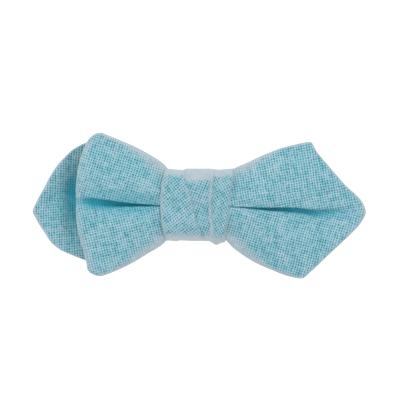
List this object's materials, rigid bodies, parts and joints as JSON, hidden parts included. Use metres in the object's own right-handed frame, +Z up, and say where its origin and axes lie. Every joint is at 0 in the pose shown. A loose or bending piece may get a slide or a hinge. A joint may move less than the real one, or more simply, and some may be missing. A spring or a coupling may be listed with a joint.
{
  "type": "bow tie",
  "caption": "Clip-on diamond-point bow tie: padded woven cotton strips, each with a pointed blade and a folded loop, gathered by a cloth knot band over a sprung collar clip.",
  "frame": {"origin": "middle of the clip bar's rear face, which lies against the front of the shirt collar", "axes": "+X to the right as seen from the front, +Y back towards the wearer, +Z up"},
  "size_m": [0.1198, 0.0242, 0.0524],
  "materials": {
    "chambray": "matt plain weave of teal and off-white cotton yarns",
    "interlining": "matt non-woven felt",
    "thread": "matt spun cotton",
    "nickel": "satin nickel plate",
    "spring_steel": "bright drawn wire"
  },
  "bodies": {
    "bow": {"front_strip_face": "chambray", "front_strip_interlining": "interlining", "front_strip_lining": "chambray", "front_strip_seam_thread": "thread", "rear_strip_face": "chambray", "rear_strip_interlining": "interlining", "rear_strip_lining": "chambray", "rear_strip_seam_thread": "thread", "gather_thread": "thread", "knot_band": "chambray", "knot_closing_stitches": "thread", "clip_bar": "nickel", "right_hinge_pin": "spring_steel", "right_jaw_spring": "spring_steel", "left_hinge_pin": "spring_steel", "left_jaw_spring": "spring_steel"},
    "right_jaw": {"right_jaw": "nickel"},
    "left_jaw": {"left_jaw": "nickel"}
  },
  "joints": [
    {"name": "right_jaw_hinge", "type": "hinge", "parent": "bow", "child": "right_jaw", "pos_m": [0.013, 0.0023, 0], "axis": [0, 0, 1], "range_deg": [0, 30], "stiffness_Nm_per_rad": 0.05, "springref_deg": -34.38, "deforming": ["right_jaw_spring"]},
    {"name": "left_jaw_hinge", "type": "hinge", "parent": "bow", "child": "left_jaw", "pos_m": [-0.013, 0.0023, 0], "axis": [0, 0, -1], "range_deg": [0, 30], "stiffness_Nm_per_rad": 0.05, "springref_deg": -34.38, "deforming": ["left_jaw_spring"]}
  ]
}
